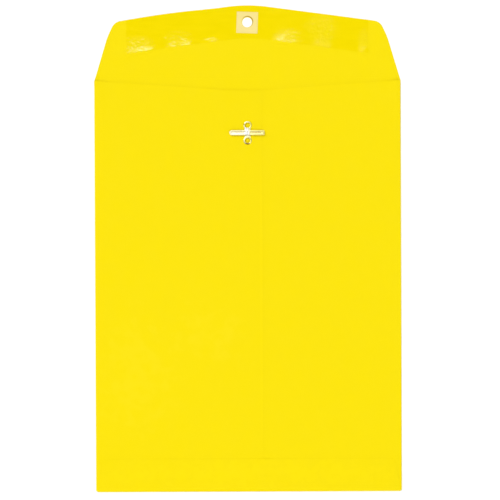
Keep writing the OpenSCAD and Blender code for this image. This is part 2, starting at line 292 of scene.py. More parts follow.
class Bench:
    """Modelling steps that all pieces share, made with Blender's own operators."""

    @staticmethod
    def pick(obj: bpy.types.Object) -> None:
        """Selects one object alone and makes it active.

        Args:
            obj: The object.
        """
        bpy.ops.object.select_all(action="DESELECT")
        obj.select_set(True)
        bpy.context.view_layer.objects.active = obj

    @staticmethod
    def freeze() -> None:
        """Moves the active object's place, turn and scale into its mesh."""
        bpy.ops.object.transform_apply(location=True, rotation=True, scale=True)

    @staticmethod
    def named(name: str) -> bpy.types.Object:
        """Names the object that was just added.

        Args:
            name: Name for the object and its mesh.

        Returns:
            The object.
        """
        obj = bpy.context.object
        obj.name = name
        obj.data.name = name
        return obj

    @staticmethod
    def grid(name: str, low: Vector, high: Vector, cell: float) -> bpy.types.Object:
        """Adds a flat sheet of square cells.

        Args:
            name: Name of the new piece.
            low: Lowest corner, which also gives the height.
            high: Highest corner.
            cell: Wanted size of a cell.

        Returns:
            The new object, with its place in its mesh.
        """
        bpy.ops.object.select_all(action="DESELECT")
        span = high - low
        bpy.ops.mesh.primitive_grid_add(
            x_subdivisions=max(round(span.x / cell), 1),
            y_subdivisions=max(round(span.y / cell), 1),
            size=1,
            location=((low.x + high.x) / 2, (low.y + high.y) / 2, low.z),
        )
        obj = Bench.named(name)
        obj.scale = (span.x, span.y, 1)
        Bench.freeze()
        return obj

    @staticmethod
    @contextmanager
    def editing(obj: bpy.types.Object) -> Iterator[None]:
        """Opens an object in edit mode, with all of it selected, and closes it again.

        Args:
            obj: The object.

        Yields:
            Nothing, while the object is open.
        """
        Bench.pick(obj)
        bpy.ops.object.mode_set(mode="EDIT")
        bpy.ops.mesh.select_mode(type="EDGE")
        bpy.ops.mesh.select_all(action="SELECT")
        yield
        bpy.ops.object.mode_set(mode="OBJECT")

    @staticmethod
    def select_rim(obj: bpy.types.Object, place: Place) -> None:
        """Selects, in edit mode, the open edges that lie in a place.

        Args:
            obj: Sheet that is open in edit mode.
            place: Says whether a point lies in the place.
        """
        bpy.ops.mesh.select_mode(type="EDGE")
        bpy.ops.mesh.select_all(action="DESELECT")
        mesh = bmesh.from_edit_mesh(obj.data)
        for edge in mesh.edges:
            if edge.is_boundary and all(place(vertex.co) for vertex in edge.verts):
                edge.select_set(True)
        bmesh.update_edit_mesh(obj.data)

    @staticmethod
    def drop_faces(obj: bpy.types.Object, place: Place) -> None:
        """Deletes, in edit mode, the faces whose middles lie in a place.

        Args:
            obj: Sheet that is open in edit mode.
            place: Says whether a point lies in the place.
        """
        bpy.ops.mesh.select_mode(type="FACE")
        bpy.ops.mesh.select_all(action="DESELECT")
        mesh = bmesh.from_edit_mesh(obj.data)
        for face in mesh.faces:
            face.select_set(place(face.calc_center_median()))
        bmesh.update_edit_mesh(obj.data)
        bpy.ops.mesh.delete(type="FACE")

    @staticmethod
    def draw_rings(centre: Vector, profile: list[Range]) -> None:
        """Extrudes the selected circle along a round profile, ring by ring.

        Args:
            centre: Middle of the circle.
            profile: Radius and height of each ring, from the circle itself on.
        """
        for (radius, z), (next_radius, next_z) in zip(profile, profile[1:]):
            bpy.ops.mesh.extrude_region_move(TRANSFORM_OT_translate={"value": (0, 0, next_z - z)})
            share = next_radius / radius
            bpy.ops.transform.resize(value=(share, share, 1), center_override=(centre.x, centre.y, next_z))

    @staticmethod
    def trim(obj: bpy.types.Object, cuts: list[Cut], drop_waste: bool = True) -> None:
        """Cuts a sheet straight along each cut.

        Args:
            obj: Sheet to cut.
            cuts: The cuts, one after the other.
            drop_waste: Whether the waste outside a cut is dropped.
        """
        with Bench.editing(obj):
            for cut in cuts:
                bpy.ops.mesh.select_all(action="SELECT")
                bpy.ops.mesh.bisect(
                    plane_co=cut.point,
                    plane_no=cut.outward,
                    clear_outer=drop_waste,
                    threshold=CUT_TOLERANCE,
                )

    @staticmethod
    def punch(obj: bpy.types.Object, centre: Vector, radius: float, margin: float) -> None:
        """Opens a round hole in a flat part of a sheet.

        Args:
            obj: Sheet with cells smaller than the hole.
            centre: Middle of the hole, at the sheet's height.
            radius: Radius of the hole.
            margin: Width of the plain ring between the hole and the cells, over half a cell.
        """

        def within(reach: float) -> Place:
            """Gives a test for points in a square round the hole."""
            return lambda point: max(abs(point.x - centre.x), abs(point.y - centre.y)) < reach

        with Bench.editing(obj):
            Bench.drop_faces(obj, within(radius + margin))
            Bench.select_rim(obj, within(radius + 2 * margin))
            bpy.ops.mesh.subdivide(number_cuts=3)
            bpy.ops.mesh.extrude_region_move(TRANSFORM_OT_translate={"value": (0, 0, 0)})
            mesh = bmesh.from_edit_mesh(obj.data)
            for vertex in mesh.verts:
                if vertex.select:
                    vertex.co = centre + (vertex.co - centre).normalized() * radius
            bmesh.update_edit_mesh(obj.data)

    @staticmethod
    def wrap(obj: bpy.types.Object, place: Place, centre: Vector, axis: Vector, turn: float) -> None:
        """Folds a sheet on from one of its edges round an axis.

        Args:
            obj: Sheet to fold.
            place: Says which open edges the fold starts from.
            centre: Point on the fold's axis.
            axis: Direction of the axis.
            turn: How far the fold goes round, in radians.
        """
        with Bench.editing(obj):
            Bench.select_rim(obj, place)
            bpy.ops.mesh.spin(steps=FOLD_STEPS, angle=turn, center=centre, axis=axis)

    @staticmethod
    def extend(obj: bpy.types.Object, place: Place, step: Vector, count: int) -> None:
        """Extrudes open edges of a sheet in equal steps.

        Args:
            obj: Sheet to lengthen.
            place: Says which open edges are extruded.
            step: Length and direction of one step.
            count: Number of steps.
        """
        with Bench.editing(obj):
            Bench.select_rim(obj, place)
            for _ in range(count):
                bpy.ops.mesh.extrude_region_move(TRANSFORM_OT_translate={"value": step})

    @staticmethod
    def shape(obj: bpy.types.Object, move: Move) -> None:
        """Moves every vertex of a piece.

        Args:
            obj: Piece to move.
            move: Gives each vertex its place.
        """
        for vertex in obj.data.vertices:
            vertex.co = move(vertex.co)
        obj.data.update()

    @staticmethod
    def face_up(obj: bpy.types.Object, merge: float = 1e-4) -> None:
        """Merges close points and turns the faces of an open sheet the same way, mostly upwards.

        Args:
            obj: Open sheet.
            merge: Distance below which points become one.
        """
        with Bench.editing(obj):
            bpy.ops.mesh.remove_doubles(threshold=merge)
            bpy.ops.mesh.select_all(action="SELECT")
            bpy.ops.mesh.normals_make_consistent(inside=False)
        if sum(face.normal.z * face.area for face in obj.data.polygons) < 0:
            with Bench.editing(obj):
                bpy.ops.mesh.flip_normals()

    @staticmethod
    def apply(obj: bpy.types.Object, kind: str, **settings: object) -> None:
        """Adds a modifier and applies it.

        Args:
            obj: Piece to change.
            kind: Blender's name of the kind of modifier.
            settings: Values for the modifier.
        """
        Bench.pick(obj)
        modifier = obj.modifiers.new(kind.title(), kind)
        for key, value in settings.items():
            setattr(modifier, key, value)
        bpy.ops.object.modifier_apply(modifier=modifier.name)

    @staticmethod
    def thicken(obj: bpy.types.Object, thickness: float) -> None:
        """Gives an open sheet its thickness, half on each side."""
        Bench.apply(obj, "SOLIDIFY", thickness=thickness, offset=0.0, use_quality_normals=True)

    @staticmethod
    def form(obj: bpy.types.Object, thickness: float, move: Move) -> None:
        """Turns a flat sheet's faces one way, gives it its form and then its thickness.

        Args:
            obj: Open flat sheet.
            thickness: Its thickness, half on each side.
            move: Gives each point its place.
        """
        Bench.face_up(obj)
        Bench.shape(obj, move)
        Bench.thicken(obj, thickness)

    @staticmethod
    def soften(obj: bpy.types.Object, width: float, segments: int, corner: float) -> None:
        """Rounds the edges of a piece.

        Args:
            obj: Piece to round.
            width: Width of the rounding.
            segments: Number of faces across it.
            corner: Least turn of an edge that is rounded, in degrees.
        """
        limit = math.radians(corner)
        Bench.apply(
            obj, "BEVEL", width=width, segments=segments, limit_method="ANGLE", angle_limit=limit
        )

    @staticmethod
    def settle(obj: bpy.types.Object, material: bpy.types.Material) -> None:
        """Brings a finished piece down to metres, smooths it and dresses it.

        Args:
            obj: Piece modelled in millimetres.
            material: Finish of the whole piece.
        """
        Bench.pick(obj)
        obj.scale = (MM, MM, MM)
        Bench.freeze()
        bpy.ops.object.shade_smooth_by_angle(angle=SMOOTH_ANGLE)
        obj.data.materials.clear()
        obj.data.materials.append(material)
        LOG.info("%s: %d faces", obj.name, len(obj.data.polygons))


@dataclass(frozen=True)
class Spot:
    """Long or round part of a finish: place, reach, full share of the reach, ragged edge and turn."""

    place: Lengths
    reach: Lengths
    core: float = 0.5
    ragged: float = 0.08
    grain: float = 0.5
    turn: float = 0.0


@dataclass(frozen=True)
class PaintedSpot:
    """Spot painted with a colour, used for marks of the material and for painted light and shade."""

    spot: Spot
    colour: Colour


class ShaderBoard:
    """Node tree of one material, with short calls to add and join nodes."""

    def __init__(self, name: str) -> None:
        """Starts a material with Blender's main shader.

        Args:
            name: Name of the material.
        """
        self.material = bpy.data.materials.new(name)
        self.material.use_nodes = True
        self.nodes = self.material.node_tree.nodes
        self.links = self.material.node_tree.links
        self.shader = self.nodes["Principled BSDF"]
        self.place: Socket = self.nodes.new("ShaderNodeTexCoord").outputs["Object"]

    def set(self, **values: object) -> None:
        """Sets plain values on the shader, with _ for a space in a socket's name."""
        for key, value in values.items():
            self.shader.inputs[key.replace("_", " ")].default_value = value

    def feed(self, socket_name: str, source: Socket) -> None:
        """Joins a source to one of the shader's sockets."""
        self.links.new(source, self.shader.inputs[socket_name])

    def mapped(self, lengths: Lengths, turn: float = 0.0, middle: Lengths = (0.0, 0.0, 0.0)) -> Socket:
        """Measures the object's coordinates from a middle, in turned units of given lengths.

        Args:
            lengths: Lengths of a unit along X, Y and Z, in millimetres.
            turn: Turn of the units about Z, in degrees.
            middle: Where the count starts, in millimetres.

        Returns:
            The measured coordinates.
        """
        node = self.nodes.new("ShaderNodeMapping")
        node.vector_type = "TEXTURE"
        node.inputs["Location"].default_value = tuple(side * MM for side in middle)
        node.inputs["Rotation"].default_value = (0, 0, math.radians(turn))
        node.inputs["Scale"].default_value = tuple(side * MM for side in lengths)
        self.links.new(self.place, node.inputs["Vector"])
        return node.outputs["Vector"]

    def noise(self, size: float | Lengths, turn: float = 0.0, detail: float = 3.0) -> Socket:
        """Adds a noise.

        Args:
            size: Size of its grain, or lengths along X, Y and Z, in millimetres.
            turn: Turn of the grain about Z, in degrees.
            detail: Number of finer layers.

        Returns:
            The noise, from 0 to 1.
        """
        node = self.nodes.new("ShaderNodeTexNoise")
        node.inputs["Scale"].default_value = 1.0
        node.inputs["Detail"].default_value = detail
        lengths = size if isinstance(size, tuple) else (size, size, size)
        self.links.new(self.mapped(lengths, turn), node.inputs["Vector"])
        return node.outputs["Fac"]

    def spread(self, value: Socket, source: Range, target: Range) -> Socket:
        """Maps one range of a value to another and stops at its ends.

        Args:
            value: Value to map.
            source: Range to read.
            target: Range to give.

        Returns:
            The mapped value.
        """
        node = self.nodes.new("ShaderNodeMapRange")
        node.inputs["From Min"].default_value, node.inputs["From Max"].default_value = source
        node.inputs["To Min"].default_value, node.inputs["To Max"].default_value = target
        self.links.new(value, node.inputs["Value"])
        return node.outputs["Result"]

    def combine(self, operation: str, first: Socket, second: Socket | float) -> Socket:
        """Joins two values by a sum.

        Args:
            operation: Blender's name of the sum.
            first: First value.
            second: Second value, or a fixed number.

        Returns:
            The result.
        """
        node = self.nodes.new("ShaderNodeMath")
        node.operation = operation
        self.links.new(first, node.inputs[0])
        if isinstance(second, float):
            node.inputs[1].default_value = second
        else:
            self.links.new(second, node.inputs[1])
        return node.outputs["Value"]

    def tint(self, share: Socket, low: Colour | Socket, high: Colour) -> Socket:
        """Mixes two colours.

        Args:
            share: Share of the second colour.
            low: First colour.
            high: Second colour.

        Returns:
            The mixed colour.
        """
        node = self.nodes.new("ShaderNodeMix")
        node.data_type = "RGBA"
        self.links.new(share, node.inputs["Factor"])
        if isinstance(low, tuple):
            node.inputs[MIX_LOW].default_value = (*low, 1)
        else:
            self.links.new(low, node.inputs[MIX_LOW])
        node.inputs[MIX_HIGH].default_value = (*high, 1)
        return node.outputs[MIX_RESULT]

    def inside(self, spot: Spot) -> Socket:
        """Gives how far the surface lies inside a spot with a ragged edge.

        Args:
            spot: The spot.

        Returns:
            Share from 0 outside to 1 in the spot's core.
        """
        away = self.nodes.new("ShaderNodeVectorMath")
        away.operation = "LENGTH"
        self.links.new(self.mapped(spot.reach, spot.turn, spot.place), away.inputs[0])
        ragged = self.spread(self.noise(spot.grain), NOISE_RANGE, (-spot.ragged, spot.ragged))
        edge = self.combine("ADD", away.outputs["Value"], ragged)
        return self.spread(edge, (spot.core, 1.0), (1.0, 0.0))

    def varied(self, share: Socket, colour: Colour, range_share: float) -> Socket:
        """Makes a colour a little darker and lighter by a noise.

        Args:
            share: The noise.
            colour: Colour in the middle of the range.
            range_share: How much darker and lighter it gets.

        Returns:
            The varied colour.
        """
        darker, lighter = (shaded(colour, 1 + sign * range_share) for sign in (-1, 1))
        return self.tint(self.spread(share, NOISE_RANGE, (0.0, 1.0)), darker, lighter)

    def painted_over(self, colour: Socket, marks_and_painted_light: tuple[PaintedSpot, ...]) -> Socket:
        """Lays painted spots over a colour: marks of the material as well as painted light and shade.

        Args:
            colour: Colour below the spots.
            marks_and_painted_light: Painted spots in the order that they are laid.

        Returns:
            The colour with the spots painted on.
        """
        for painted_spot in marks_and_painted_light:
            colour = self.tint(self.inside(painted_spot.spot), colour, painted_spot.colour)
        return colour

    def bump(self, height: Socket, depth: float, after: Socket | None = None) -> Socket:
        """Adds a relief to the surface.

        Args:
            height: Relief from 0 to 1.
            depth: Height of the relief, in millimetres.
            after: Normal that the relief is laid over.

        Returns:
            The changed normal.
        """
        node = self.nodes.new("ShaderNodeBump")
        node.inputs["Distance"].default_value = depth * MM
        self.links.new(height, node.inputs["Height"])
        if after is not None:
            self.links.new(after, node.inputs["Normal"])
        return node.outputs["Normal"]


@dataclass(frozen=True)
class PaperFinish:
    """Smooth dyed paper: faint clouds, crossing fibres and a fine tooth."""

    name: str
    colour: Colour
    cloud_size: float = 9.0
    cloud_share: float = 0.002
    fibre_share: float = 0.03
    fibre_lengths: Lengths = (1.8, 0.14, 0.14)
    fibre_turns: Range = (-28.0, 52.0)
    strand_range: Range = (0.62, 0.8)
    tooth_size: float = 0.22
    tooth_depth: float = 0.006
    fibre_depth: float = 0.008
    roughness: Range = (0.66, 0.82)
    specular: float = 0.06
    # Spots laid over the colour; besides lighter patches they include painted highlights and painted
    # shade.
    marks_and_painted_light: tuple[PaintedSpot, ...] = ()

    def material(self) -> bpy.types.Material:
        """Builds the finish.

        Returns:
            The material.
        """
        board = ShaderBoard(self.name)
        clouds = board.noise(self.cloud_size, detail=4.0)
        first, second = (board.noise(self.fibre_lengths, turn, detail=2.0) for turn in self.fibre_turns)
        fibres = board.combine("MAXIMUM", first, second)
        tooth = board.noise(self.tooth_size, detail=2.0)
        cloudy = board.varied(clouds, self.colour, self.cloud_share)
        strands = board.spread(fibres, self.strand_range, (0.0, 1.0))
        fibrous = board.tint(strands, cloudy, shaded(self.colour, 1 + self.fibre_share))
        board.feed("Base Color", board.painted_over(fibrous, self.marks_and_painted_light))
        board.feed("Roughness", board.spread(clouds, NOISE_RANGE, self.roughness))
        normal = board.bump(tooth, self.tooth_depth)
        board.feed("Normal", board.bump(fibres, self.fibre_depth, after=normal))
        board.set(Specular_IOR_Level=self.specular)
        return board.material


@dataclass(frozen=True)
class GumFinish:
    """Dried gum: deeper than the paper below it, glossy, with a streaky coat and rougher hazes."""

    name: str = "dried_gum"
    colour: Colour = (0.796, 0.624, 0.0002)
    streak_lengths: Lengths = (14.0, 3.0, 3.0)
    streak_share: float = 0.015
    ripple_size: float = 2.2
    ripple_depth: float = 0.11
    ripple_share: float = 0.3
    hazes: tuple[Spot, ...] = ()
    roughness: Range = (0.045, 0.075)
    specular: float = 0.5

    def material(self) -> bpy.types.Material:
        """Builds the finish.

        Returns:
            The material.
        """
        board = ShaderBoard(self.name)
        streaks = board.noise(self.streak_lengths, detail=4.0)
        ripples = board.noise(self.ripple_size, detail=2.0)
        board.feed("Base Color", board.varied(streaks, self.colour, self.streak_share))
        board.feed("Roughness", board.spread(streaks, NOISE_RANGE, self.roughness))
        rough: Socket | float = self.ripple_share
        for haze in self.hazes:
            strength = board.spread(board.inside(haze), (0.0, 1.0), (self.ripple_share, 1.0))
            rough = board.combine("MAXIMUM", strength, rough)
        board.feed("Normal", board.bump(board.combine("MULTIPLY", ripples, rough), self.ripple_depth))
        board.set(Specular_IOR_Level=self.specular)
        return board.material


@dataclass(frozen=True)
class MetalFinish:
    """Tinned steel: rolling lines, soft clouds of tarnish, a warm tint that is partly painted reflection
    of the yellow paper, and spots of painted reflection and highlight.
    """

    name: str = "tinned_steel"
    # Warm tint: partly painted reflection of the yellow paper round the clasp.
    colour: Colour = (0.93, 0.87, 0.60)
    tarnish: Colour = (0.80, 0.70, 0.42)
    tarnish_range: Range = (0.4, 0.75)
    tarnish_share: float = 0.6
    line_lengths: Lengths = (3.0, 0.05, 0.05)
    line_turn: float = -90.0
    line_depth: float = 0.0015
    cloud_size: float = 0.9
    metallic: float = 0.8
    roughness: Range = (0.36, 0.42)
    # Spots laid over the colour: painted reflections and painted highlights.
    marks_and_painted_light: tuple[PaintedSpot, ...] = ()

    def material(self) -> bpy.types.Material:
        """Builds the finish.

        Returns:
            The material.
        """
        board = ShaderBoard(self.name)
        lines = board.noise(self.line_lengths, self.line_turn)
        clouds = board.noise(self.cloud_size, detail=4.0)
        share = board.spread(clouds, self.tarnish_range, (0.0, self.tarnish_share))
        tarnished = board.tint(share, self.colour, self.tarnish)
        board.feed("Base Color", board.painted_over(tarnished, self.marks_and_painted_light))
        board.feed("Roughness", board.spread(clouds, NOISE_RANGE, self.roughness))
        board.feed("Normal", board.bump(lines, self.line_depth))
        board.set(Metallic=self.metallic)
        return board.material


@dataclass(frozen=True)
class GlueFinish:
    """Thin dried glue with small bubbles."""

    name: str = "dried_glue"
    colour: Colour = (0.62, 0.53, 0.22)
    shades: Range = (0.85, 1.1)
    bubble_size: float = 0.8
    bubble_depth: float = 0.01
    roughness: Range = (0.3, 0.5)

    def material(self) -> bpy.types.Material:
        """Builds the finish.

        Returns:
            The material.
        """
        board = ShaderBoard(self.name)
        bubbles = board.noise(self.bubble_size)
        darker, lighter = (shaded(self.colour, shade) for shade in self.shades)
        board.feed("Base Color", board.tint(bubbles, darker, lighter))
        board.feed("Roughness", board.spread(bubbles, NOISE_RANGE, self.roughness))
        board.feed("Normal", board.bump(bubbles, self.bubble_depth))
        return board.material


@dataclass(frozen=True)
class Cockle:
    """Low ridge of the flap, where the gum has drawn the paper as it dried."""

    x: float
    y: float
    half_length: float
    above: float
    height: float
    turn: float
    below: float = 2.5

    def lift(self, x: float, y: float) -> float:
        """Gives the ridge's height at a point.

        Args:
            x: Place across.
            y: Place along.

        Returns:
            The height, which falls off slowly above the ridge and quickly below it.
        """
        angle = math.radians(self.turn)
        across, up = x - self.x, y - self.y
        along = across * math.cos(angle) + up * math.sin(angle)
        aside = up * math.cos(angle) - across * math.sin(angle)
        fall = aside / self.above if aside > 0 else (aside / self.below) ** 2
        return self.height * math.exp(-((along / self.half_length) ** 4) - fall)


@dataclass(frozen=True)
class Relief:
    """How far the paper stands off its flat place: the pocket's belly and the flap's swellings."""

    layout: Layout
    belly: float = 0.7
    belly_top: float = 55.0
    belly_foot: float = 24.0
    belly_runs: Range = (70.0, 90.0)
    wave: float = 0.1
    wave_lengths: Range = (83.0, 117.0)
    wave_skews: Range = (260.0, 310.0)
    wave_fade: float = 3.0
    throat_slope: float = 4.1
    throat_hollow_r: float = 300.0
    droop: float = 0.66
    droop_sides: float = 13.0
    droop_reach: float = 24.0
    droop_left: float = 0.15
    droop_left_from: float = 14.0
    droop_left_run: float = 20.0
    corner_lift: float = 0.3
    corner_run: float = 60.0
    flat_half: float = 18.0
    patch_half: float = 9.0
    patch_run: float = 8.0
    crease_share: float = 0.25
    slip_top: float = 1.45
    slip_from: float = 20.0
    slip_to: float = 110.0
    slip_power: float = 1.3
    step_gap: float = 0.5
    step_run: float = 5.0
    ripple: float = 0.1
    ripple_lengths: Range = (5.0, 6.0)
    ripple_layer: float = 0.4
    ripple_foot: Range = (3.0, 4.0)
    ripple_top: Range = (1.0, 5.0)
    dome: float = 0.5
    dome_reach: float = 30.0
    cockles: tuple[Cockle, ...] = ()

    def mouth(self, x: float) -> float:
        """Gives the height of the mouth's edge, which falls to a blunt hollow, at a place across.

        Args:
            x: Place across.

        Returns:
            The edge's place along Y.
        """
        place = self.layout
        slope = math.radians(self.throat_slope)
        radius = self.throat_hollow_r
        if abs(x) >= radius * math.sin(slope):
            return place.mouth_y - (place.half_w - abs(x)) * math.tan(slope)
        corner = place.mouth_y - place.half_w * math.tan(slope)
        return corner + radius / math.cos(slope) - math.sqrt(radius**2 - x * x)

    def pocket(self, x: float, y: float) -> float:
        """Gives the lift of the pocket's back at a point.

        Args:
            x: Place across.
            y: Place along.

        Returns:
            The lift, which fades out at the folds, the bottom flap and the clasp, and turns into a
            droop at the mouth.
        """
        place = self.layout
        middle = (place.left_x + place.right_x) / 2
        across = min(abs(x - middle) / (place.right_x - middle), 1.0)
        side = (1 - across * across) ** 2
        foot_run, top_run = self.belly_runs
        low = ease((y - place.foot_y - self.belly_foot) / foot_run)
        high = ease((self.belly_top - y) / top_run)
        (long, wide), (long_skew, wide_skew) = self.wave_lengths, self.wave_skews
        waves = math.sin(math.tau * (x / long + y / long_skew))
        waves *= math.sin(math.tau * (y / wide - x / wide_skew))
        droop = self.droop + self.droop_left * ease((-x - self.droop_left_from) / self.droop_left_run)
        droop *= ease((1 - across) * self.droop_sides) * ease((y - self.mouth(x)) / self.droop_reach + 1)
        swell = self.belly * side + self.wave * waves * min(side * self.wave_fade, 1.0)
        return swell * low * high - droop

    def flap(self, x: float, y: float) -> float:
        """Gives the lift of the open flap at a point.

        Args:
            x: Place across.
            y: Place along.

        Returns:
            The lift, which is nothing at the fold and round the hole.
        """
        rise = self._rise(y)
        away = ease((abs(x) - self.flat_half) / self.corner_run)
        swell = sum(cockle.lift(x, y) for cockle in self.cockles)
        swell *= ease((abs(x) - self.patch_half) / self.patch_run)
        return (self.corner_lift * rise * away + swell) * ease(rise / self.crease_share)

    def _rise(self, y: float) -> float:
        """Gives the share of the way from the fold to the flap's top at a place along."""
        place = self.layout
        return min(max((y - place.fold_y) / (place.top_y - place.fold_y), 0.0), 1.0)

    def front(self, x: float, y: float) -> float:
        """Gives the lift of the pocket's front at a point, which is drawn up under the clasp."""
        away = math.hypot(x, y - self.layout.clasp_y)
        return self.dome * ease(1 - away / self.dome_reach)

    def step(self, x: float, y: float) -> float:
        """Gives the bottom flap's step from the upper panel down to the lower one at a point.

        Args:
            x: Place across.
            y: Place along.

        Returns:
            The step, which is nothing left of the seam and at the bottom fold.
        """
        place = self.layout
        past = ease((x - place.seam_x - self.step_gap) / self.step_run)
        return (place.right_z - place.left_z) * past * ease((y - place.foot_y) / self.step_run)

    def paste(self, x: float, y: float) -> float:
        """Gives the bottom flap's ripple over its glue at a point.

        Args:
            x: Place across.
            y: Place along.

        Returns:
            The lift, which fades out towards the fold and the flap's edge.
        """
        place = self.layout
        long, wide = self.ripple_lengths
        (foot, foot_run), (top, top_run) = self.ripple_foot, self.ripple_top
        fade = ease((y - place.foot_y - foot) / foot_run)
        fade *= ease((place.bottom_flap_top - top - y) / top_run)
        swell = noise.noise(Vector((x / long, y / wide, self.ripple_layer)))
        return self.ripple * fade * (0.5 + 0.5 * swell)

    def slip(self, x: float, y: float) -> float:
        """Gives how far the left half of the flap was cut too high at a point.

        Args:
            x: Place across.
            y: Place along.

        Returns:
            The shift along Y, which grows from the fold to the top edge.
        """
        share = (-x - self.slip_from) / (self.slip_to - self.slip_from)
        if not 0 < share < 1:
            return 0.0
        return self.slip_top * math.sin(math.pi * share) ** self.slip_power * self._rise(y) ** 2


@dataclass
class PaperBlank:
    """The one folded sheet: front with its flap, two sides and the bottom flap."""

    layout: Layout
    relief: Relief
    material: bpy.types.Material
    shoulder_inset: float = 15.2
    flap_slope: float = 7.7
    shoulder_r: float = 8.0
    bend_out: float = 5.2
    bend_drop: float = 10.4
    bend_r: float = 50.0
    point_r: float = 115.0
    hole_r: float = 3.7
    hole_from_top: float = 12.5
    hole_margin: float = 1.6
    throat_reach: float = 28.0
    bottom_taper: float = 4.0
    bottom_corner_r: float = 5.0
    barrel_hole_r: float = 2.15
    barrel_margin: float = 1.5
    eyelet_pitch: float = 11.3
    flap_cell: float = 1.5
    front_cell: float = 6.0
    side_cell: float = 2.6
    bottom_cell: float = 1.6
    fold_half: float = 0.6
    fold_rows: int = 12
    score_half: float = 0.5
    score_depth: float = 0.018
    lip_width: float = 1.8
    lip_lift: float = 0.06
    lip_foot_run: float = 8.0
    lip_low_from: float = 45.0
    lip_low_run: float = 35.0
    lip_low_share: float = 0.7

    @property
    def hole(self) -> Vector:
        """Middle of the flap's hole, in the middle of the paper."""
        return Vector((0, self.layout.top_y - self.hole_from_top, self.layout.paper_t / 2))

    @property
    def point_y(self) -> float:
        """Height at which the flap's sloping top edges would meet."""
        return self.layout.top_y + self.point_r * (1 / math.cos(math.radians(self.flap_slope)) - 1)

    def flap_corners(self) -> list[Corner]:
        """Gives the corners of the front and its flap.

        Returns:
            Corners in anticlockwise order.
        """
        half_w, foot_y = self.layout.half_w, self.layout.foot_y
        shoulder_x = half_w - self.shoulder_inset
        shoulder_y = self.point_y - shoulder_x * math.tan(math.radians(self.flap_slope))
        right = [
            Corner(half_w, self.layout.mouth_y),
            Corner(shoulder_x + self.bend_out, shoulder_y - self.bend_drop, self.bend_r),
            Corner(shoulder_x, shoulder_y, self.shoulder_r),
        ]
        left = [Corner(-corner.x, corner.y, corner.radius) for corner in reversed(right)]
        point = Corner(0, self.point_y, self.point_r)
        return [Corner(-half_w, foot_y), Corner(half_w, foot_y), *right, point, *left]

    def top_edge(self, x: float) -> float:
        """Gives the height of the flap's top edge at a place across.

        Args:
            x: Place across.

        Returns:
            The edge's place along Y.
        """
        slope = math.radians(self.flap_slope)
        if abs(x) < self.point_r * math.sin(slope):
            return self.layout.top_y - self.point_r + math.sqrt(self.point_r**2 - x * x)
        return self.point_y - abs(x) * math.tan(slope)

    def barrel_holes(self, z: float) -> list[Vector]:
        """Gives the middles of the clasp's two holes at a height, the lower one first."""
        return [Vector((0, self.layout.clasp_y + sign * self.eyelet_pitch / 2, z)) for sign in (-1, 1)]

    def punch_barrels(self, obj: bpy.types.Object, z: float) -> None:
        """Opens the clasp's two holes in a sheet at a height."""
        for hole in self.barrel_holes(z):
            Bench.punch(obj, hole, self.barrel_hole_r, self.barrel_margin)

    def front_sheet(self) -> None:
        """Builds the front of the pocket and the seal flap as one sheet, scored along the fold."""
        place = self.layout
        mid_z = place.paper_t / 2
        fold_foot = place.fold_y - self.fold_half
        row_foot = fold_foot - self.flap_cell
        obj = Bench.grid(
            "front_sheet",
            Vector((-place.half_w, row_foot, mid_z)),
            Vector((place.half_w, fold_foot, mid_z)),
            self.flap_cell,
        )
        front_l = row_foot - place.foot_y
        front_rows = round(front_l / self.front_cell)
        Bench.extend(obj, at_y(row_foot), Vector((0, -front_l / front_rows, 0)), front_rows)
        fold_row = Vector((0, 2 * self.fold_half / self.fold_rows, 0))
        Bench.extend(obj, at_y(fold_foot), fold_row, self.fold_rows)
        flap_l = place.top_y - place.fold_y
        flap_rows = round(flap_l / self.flap_cell)
        fold_top = place.fold_y + self.fold_half
        Bench.extend(obj, at_y(fold_top), Vector((0, flap_l / flap_rows, 0)), flap_rows)
        Bench.trim(obj, rounded_cuts(self.flap_corners()))
        Bench.punch(obj, self.hole, self.hole_r, self.hole_margin)
        Bench.form(obj, place.paper_t, self._lie_open)
        Bench.settle(obj, self.material)
        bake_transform(obj)
        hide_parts("front_panel", "seal_flap")

    def _lie_open(self, point: Vector) -> Vector:
        """Gives a point of the front its place: in line with the folds, scored, the flap swollen.

        Args:
            point: Point of the flat sheet.

        Returns:
            The point's new place.
        """
        place = self.layout
        if point.y < place.mouth_y - 2 * self.flap_cell:
            edge = place.right_x if point.x > 0 else -place.left_x
            lift = self.relief.front(point.x, point.y)
            return Vector((point.x * edge / place.half_w, point.y, point.z + lift))
        score = self.score_depth * (1 - ease(abs(point.y - place.fold_y) / self.score_half))
        if point.y < place.fold_y:
            return Vector((point.x, point.y, point.z + score))
        slip = self.relief.slip(point.x, point.y)
        return Vector((point.x, point.y + slip, point.z + self.relief.flap(point.x, point.y) + score))

    def side_sheet(self, side: Side) -> None:
        """Builds one side panel with the fold that joins it to the front.

        Args:
            side: Which of the two panels.
        """
        place = self.layout
        left = side is Side.LEFT
        name = side.name.lower()
        z, fold_x = (place.left_z, place.left_x) if left else (place.right_z, place.right_x)
        low_x, high_x = (fold_x, place.seam_x) if left else (-place.seam_x, fold_x)
        obj = Bench.grid(
            f"{name}_sheet",
            Vector((low_x, place.foot_y, z)),
            Vector((high_x, place.mouth_y, z)),
            self.side_cell,
        )
        self.punch_barrels(obj, z)
        mid_z = (z + place.paper_t / 2) / 2
        Bench.wrap(obj, at_x(fold_x), Vector((fold_x, 0, mid_z)), Vector((0, -side.value, 0)), math.pi)
        Bench.form(obj, place.paper_t, lambda point: self._lie_closed(point, side))
        Bench.settle(obj, self.material)
        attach(obj, Body.POCKET.value)
        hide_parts(f"{name}_fold", f"{name}_panel")

